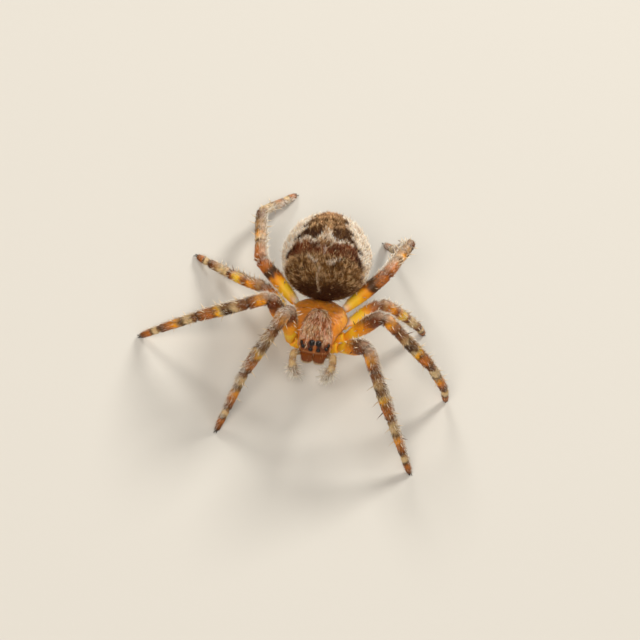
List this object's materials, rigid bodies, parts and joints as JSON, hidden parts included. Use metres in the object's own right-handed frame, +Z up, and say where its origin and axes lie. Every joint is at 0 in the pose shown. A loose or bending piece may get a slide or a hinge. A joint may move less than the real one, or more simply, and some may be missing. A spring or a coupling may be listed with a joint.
{
  "type": "orb weaver spider",
  "caption": "Life-size still model of a small round-bodied orb weaver spider standing on its feet, with a leaf-marked abdomen and ringed amber legs.",
  "frame": {"origin": "middle of the outline at floor level, under the body", "axes": "+Z up, the spider faces -Y and its left side is +X"},
  "size_m": [0.0174, 0.0162, 0.006],
  "materials": {
    "carapace_cuticle": "glossy translucent amber shell",
    "jaw_cuticle": "glossy red-brown shell",
    "soft_hide": "matt skin with a leaf marking",
    "limb_cuticle": "satin, ringed yellow, orange and brown",
    "eye_lens": "glossy black",
    "coat_hair": "fine pale and brown hairs",
    "spine_bristle": "dark and straw bristles"
  },
  "bodies": {
    "root": {"carapace": "carapace_cuticle", "sternum": "carapace_cuticle", "pedicel": "soft_hide", "abdomen": "soft_hide", "spinnerets": "limb_cuticle", "chelicera_right": "jaw_cuticle", "chelicera_left": "jaw_cuticle", "palp_right": "limb_cuticle", "palp_left": "limb_cuticle", "eye_posterior_median_right": "eye_lens", "eye_anterior_median_right": "eye_lens", "eye_posterior_lateral_right": "eye_lens", "eye_anterior_lateral_right": "eye_lens", "eye_posterior_median_left": "eye_lens", "eye_anterior_median_left": "eye_lens", "eye_posterior_lateral_left": "eye_lens", "eye_anterior_lateral_left": "eye_lens", "leg_1_right_femur": "limb_cuticle", "leg_1_right_patella": "limb_cuticle", "leg_1_right_tibia": "limb_cuticle", "leg_1_right_metatarsus": "limb_cuticle", "leg_1_right_tarsus": "limb_cuticle", "leg_2_right_femur": "limb_cuticle", "leg_2_right_patella": "limb_cuticle", "leg_2_right_tibia": "limb_cuticle", "leg_2_right_metatarsus": "limb_cuticle", "leg_2_right_tarsus": "limb_cuticle", "leg_3_right_femur": "limb_cuticle", "leg_3_right_patella": "limb_cuticle", "leg_3_right_tibia": "limb_cuticle", "leg_3_right_metatarsus": "limb_cuticle", "leg_3_right_tarsus": "limb_cuticle", "leg_4_right_femur": "limb_cuticle", "leg_4_right_patella": "limb_cuticle", "leg_4_right_tibia": "limb_cuticle", "leg_4_right_metatarsus": "limb_cuticle", "leg_4_right_tarsus": "limb_cuticle", "leg_1_left_femur": "limb_cuticle", "leg_1_left_patella": "limb_cuticle", "leg_1_left_tibia": "limb_cuticle", "leg_1_left_metatarsus": "limb_cuticle", "leg_1_left_tarsus": "limb_cuticle", "leg_2_left_femur": "limb_cuticle", "leg_2_left_patella": "limb_cuticle", "leg_2_left_tibia": "limb_cuticle", "leg_2_left_metatarsus": "limb_cuticle", "leg_2_left_tarsus": "limb_cuticle", "leg_3_left_femur": "limb_cuticle", "leg_3_left_patella": "limb_cuticle", "leg_3_left_tibia": "limb_cuticle", "leg_3_left_metatarsus": "limb_cuticle", "leg_3_left_tarsus": "limb_cuticle", "leg_4_left_femur": "limb_cuticle", "leg_4_left_patella": "limb_cuticle", "leg_4_left_tibia": "limb_cuticle", "leg_4_left_metatarsus": "limb_cuticle", "leg_4_left_tarsus": "limb_cuticle"}
  },
  "joints": []
}
